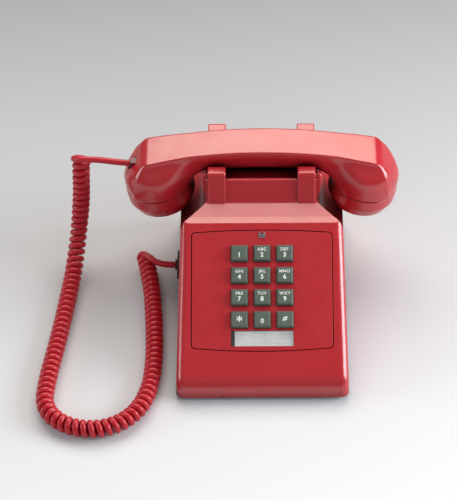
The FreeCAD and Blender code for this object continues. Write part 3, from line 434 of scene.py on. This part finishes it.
RED = srgb(172, 31, 40)
# red_shell, red_handset and red_plate darken their gaps and recesses with painted shade
M = {
    "red_shell": material("red_shell", RED, rough=0.24, spread=0.03, rough_amp=0.05, bump=0.05, bump_scale=1400, bump_dist=0.00004,
                          round_mm=0.0, spec=0.9, painted_shade_dist=0.034),
    "red_handset": material("red_handset", RED, rough=0.22, spread=0.03, rough_amp=0.05, bump=0.05, bump_scale=1400, bump_dist=0.00004,
                            round_mm=0.0, spec=0.9, painted_shade_dist=0.020, dark=0.10),
    "red_plate": material("red_plate", srgb(168, 32, 40), rough=0.46, spread=0.05, color_scale=160, rough_amp=0.06, bump=0.35,
                          bump_scale=900, bump_dist=0.00012, pebble=True, round_mm=0.3, spec=0.4, painted_shade_dist=0.0022),
    "red_cord": material("red_cord", srgb(176, 22, 38), rough=0.34, spread=0.06, color_scale=120, bump=0.06, bump_scale=1800, spec=0.5),
    "key_grey": material("key_grey", srgb(84, 96, 88), rough=0.38, spread=0.05, bump=0.10, bump_scale=1300, round_mm=0.25),
    "dark_plastic": material("dark_plastic", srgb(46, 46, 48), rough=0.45, spread=0.10, bump=0.15, bump_scale=1200, round_mm=0.3),
    "clear_plastic": material("clear_plastic", srgb(226, 230, 230), rough=0.10, spread=0.02, bump=0.02, alpha=0.22),
    "plug_clear": material("plug_clear", srgb(96, 26, 30), rough=0.2, spread=0.05, bump=0.02, alpha=0.9),
    "card_white": material("card_white", srgb(246, 247, 246), rough=0.85, spread=0.02, color_scale=300, bump=0.3, bump_scale=2500, bump_dist=0.00003),
    "steel": material("steel", srgb(176, 178, 180), rough=0.32, metal=1.0, spread=0.06, bump=0.12, bump_scale=500, stretch=(1, 14, 1), round_mm=0.15),
    "painted_base": material("painted_base", srgb(58, 58, 60), rough=0.5, spread=0.08, bump=0.25, bump_scale=700, round_mm=0.3),
    "foot_rubber": material("foot_rubber", srgb(30, 30, 30), rough=0.8, spread=0.12, bump=0.4, bump_scale=900),
    "dome_rubber": material("dome_rubber", srgb(196, 196, 188), rough=0.6, spread=0.04, bump=0.2, bump_scale=900),
    "board": material("board", srgb(34, 92, 52), rough=0.4, spread=0.15, color_scale=400, bump=0.2, bump_scale=800),
    "grey_plastic": material("grey_plastic", srgb(150, 150, 148), rough=0.4, spread=0.05, bump=0.1, bump_scale=1200, round_mm=0.3),
    "gong_brass": material("gong_brass", srgb(196, 160, 92), rough=0.24, metal=1.0, spread=0.08, bump=0.1, bump_scale=600),
    "coil_wrap": material("coil_wrap", srgb(134, 68, 34), rough=0.3, spread=0.15, color_scale=200, bump=0.8, bump_scale=300, stretch=(14, 1, 1)),
    "unit_metal": material("unit_metal", srgb(190, 190, 192), rough=0.28, metal=1.0, spread=0.05, bump=0.1, bump_scale=600),
    "legend": material("legend", srgb(232, 236, 230), rough=0.5, spread=0.02, bump=0.05),
}
slot_of = {s["node"]: s["material_slot"] for s in frame["record"]["subparts"]}
for n, ob in frame["nodes"].items():
    key = slot_of.get(n, "grey_plastic")
    if n in ("handset_handle", "transmitter_cap", "receiver_cap"):
        key = "red_handset"
    if n in ("plug_base", "plug_handset"):
        key = "plug_clear"
    ob.data.materials.clear()
    ob.data.materials.append(M[key])
cord.data.materials.append(M["red_cord"])
handle.data.materials.append(M["red_handset"])

# ------------------------------------------------------------------ key legends
slope = math.atan2(89.5 - 18.0, 120.5)
CA, SA = math.cos(slope), math.sin(slope)
FACE_C = (70.5, 18.0 + 70.5 * math.tan(slope))


def face(u, v, w):
    return Vector((u, -110.0 + FACE_C[0] + v * CA - w * SA, FACE_C[1] + v * SA + w * CA)) * MM


PITCH = 19.05
LEGENDS = [("key_1", "1", ""), ("key_2", "2", "ABC"), ("key_3", "3", "DEF"), ("key_4", "4", "GHI"), ("key_5", "5", "JKL"),
           ("key_6", "6", "MNO"), ("key_7", "7", "PRS"), ("key_8", "8", "TUV"), ("key_9", "9", "WXY"), ("key_star", "*", ""),
           ("key_0", "0", ""), ("key_hash", "#", "")]


body_height = None


def cap_height():
    """Bottom and top of a capital H, so that letters that hang below it keep the same size."""
    cu = bpy.data.curves.new("cap", "FONT")
    cu.body = "H"
    cu.align_x = "CENTER"
    cu.align_y = "CENTER"
    ob = bpy.data.objects.new("cap", cu)
    scene.collection.objects.link(ob)
    bpy.context.view_layer.update()
    me = bpy.data.meshes.new_from_object(ob)
    ys = [x.co[1] for x in me.vertices]
    bpy.data.objects.remove(ob)
    bpy.data.curves.remove(cu)
    bpy.data.meshes.remove(me)
    return min(ys), max(ys)


body_height = cap_height()


def text_mesh(name, text, height_mm, u, v, w, body, bold=0.0, spacing=1.0, shear=0.0, squeeze=1.0):
    cu = bpy.data.curves.new(name, "FONT")
    turned = text == "9"  # a turned 6, because this font fills its 9 wrongly
    cu.body = "6" if turned else text
    cu.align_x = "CENTER"
    cu.align_y = "CENTER"
    cu.size = 1.0
    cu.space_character = spacing
    cu.shear = shear
    cu.offset = bold
    cu.extrude = 0.02
    cu.resolution_u = 6
    ob = bpy.data.objects.new(name, cu)
    scene.collection.objects.link(ob)
    bpy.context.view_layer.update()
    me = bpy.data.meshes.new_from_object(ob)
    bpy.data.objects.remove(ob)
    bpy.data.curves.remove(cu)
    co = np.array([x.co for x in me.vertices], float)
    lo, hi = co.min(0), co.max(0)
    if body_height and text not in "*#":
        lo[1], hi[1] = body_height
    k = height_mm * MM / (hi[1] - lo[1])
    co[:, 0] = (co[:, 0] - (lo[0] + hi[0]) / 2) * k * squeeze
    co[:, 1] = (co[:, 1] - (lo[1] + hi[1]) / 2) * k
    co[:, 2] = (co[:, 2] - lo[2]) / max(hi[2] - lo[2], 1e-9) * 0.00006 - 0.00002
    if turned:
        co[:, :2] *= -1.0
    base = np.array(face(u, v, w))
    ex, ey, ez = np.array([1.0, 0, 0]), np.array([0, CA, SA]), np.array([0, -SA, CA])
    co = base + co[:, :1] * ex + co[:, 1:2] * ey + co[:, 2:3] * ez
    me.vertices.foreach_set("co", co.astype(np.float32).ravel())
    me.update()
    me.materials.clear()
    me.materials.append(M["legend"])
    o2 = bpy.data.objects.new(name, me)
    scene.collection.objects.link(o2)
    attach(o2, body)
    return o2


for i, (key, digit, letters) in enumerate(LEGENDS):
    u, v = (i % 3 - 1) * PITCH, 31.4 - (i // 3) * PITCH
    if digit == "*":
        text_mesh("legend_star", "*", 5.2, u, v + 0.3, 3.7, key, bold=0.010)
    elif digit == "#":
        text_mesh("legend_hash", "#", 4.4, u, v + 0.2, 3.7, key, bold=0.012, shear=0.25)
    else:
        text_mesh("legend_digit_" + digit, digit, 3.7, u, v - 1.6, 3.7, key, bold=0.020)
    if letters:
        text_mesh("legend_letters_" + digit, letters, 2.5, u, v + 3.1, 3.7, key, bold=0.012, spacing=1.15)

# ------------------------------------------------------------------ floor and light
floor_me = bpy.data.meshes.new("floor")
floor_me.from_pydata([(-6, -5, 0), (6, -5, 0), (6, 9, 0), (-6, 9, 0)], [], [(0, 1, 2, 3)])
floor = bpy.data.objects.new("floor", floor_me)
scene.collection.objects.link(floor)
fm = bpy.data.materials.new("floor")
fm.use_nodes = True
fb = fm.node_tree.nodes["Principled BSDF"]
fb.inputs["Roughness"].default_value = 0.9
fb.inputs["Specular IOR Level"].default_value = 0.1
# painted light falloff: the floor's colour runs from pale at the front to darker at the back
ftc = fm.node_tree.nodes.new("ShaderNodeTexCoord")
fsep = fm.node_tree.nodes.new("ShaderNodeSeparateXYZ")
fmr = fm.node_tree.nodes.new("ShaderNodeMapRange")
fmr.inputs["From Min"].default_value, fmr.inputs["From Max"].default_value = -0.24, 0.50
painted_falloff_ramp = fm.node_tree.nodes.new("ShaderNodeValToRGB")
painted_falloff_ramp.color_ramp.elements[0].color = (0.69, 0.70, 0.725, 1)
painted_falloff_ramp.color_ramp.elements[1].color = (0.245, 0.257, 0.275, 1)
fm.node_tree.links.new(ftc.outputs["Object"], fsep.inputs["Vector"])
fm.node_tree.links.new(fsep.outputs["Y"], fmr.inputs["Value"])
fm.node_tree.links.new(fmr.outputs["Result"], painted_falloff_ramp.inputs["Fac"])
fm.node_tree.links.new(painted_falloff_ramp.outputs["Color"], fb.inputs["Base Color"])
floor_me.materials.append(fm)

world = bpy.data.worlds.new("world")
scene.world = world
world.use_nodes = True
world.node_tree.nodes["Background"].inputs["Color"].default_value = (1, 1, 1, 1)
world.node_tree.nodes["Background"].inputs["Strength"].default_value = 0.20


def area(name, loc, target, sx, sy, power, color=(1, 1, 1)):
    d = bpy.data.lights.new(name, "AREA")
    d.shape = "RECTANGLE"
    d.size, d.size_y = sx, sy
    d.energy = power
    d.color = color
    o = bpy.data.objects.new(name, d)
    scene.collection.objects.link(o)
    o.location = loc
    o.rotation_mode = "QUATERNION"
    o.rotation_quaternion = (Vector(target) - Vector(loc)).to_track_quat("-Z", "Y")
    return o


def softbox(name, azim, elev, dist, wide, high, radiance, color=(1, 1, 1)):
    """A soft box facing the telephone; azim is degrees from the back, towards the right."""
    a, e = math.radians(azim), math.radians(elev)
    t = Vector((0.0, 0.0, 0.08))
    loc = t + Vector((math.sin(a) * math.cos(e), math.cos(a) * math.cos(e), math.sin(e))) * dist
    sx, sy = 2 * dist * math.tan(math.radians(wide / 2)), 2 * dist * math.tan(math.radians(high / 2))
    return area(name, loc, t, sx, sy, radiance * math.pi * sx * sy, color)


softbox("back_low", 0, 46, 1.8, 58, 24, 5.0, (1.0, 0.93, 0.83))
softbox("back_high", 0, 66, 1.8, 56, 18, 3.4, (1.0, 0.95, 0.88))
fill = softbox("front_fill", 180, 36, 1.9, 60, 30, 1.15)
fill.visible_glossy = False
softbox("side_right", 92, 22, 1.6, 36, 36, 9.5, (0.96, 0.97, 1.0))
softbox("side_left", -96, 16, 1.6, 26, 20, 5.0, (0.96, 0.97, 1.0))
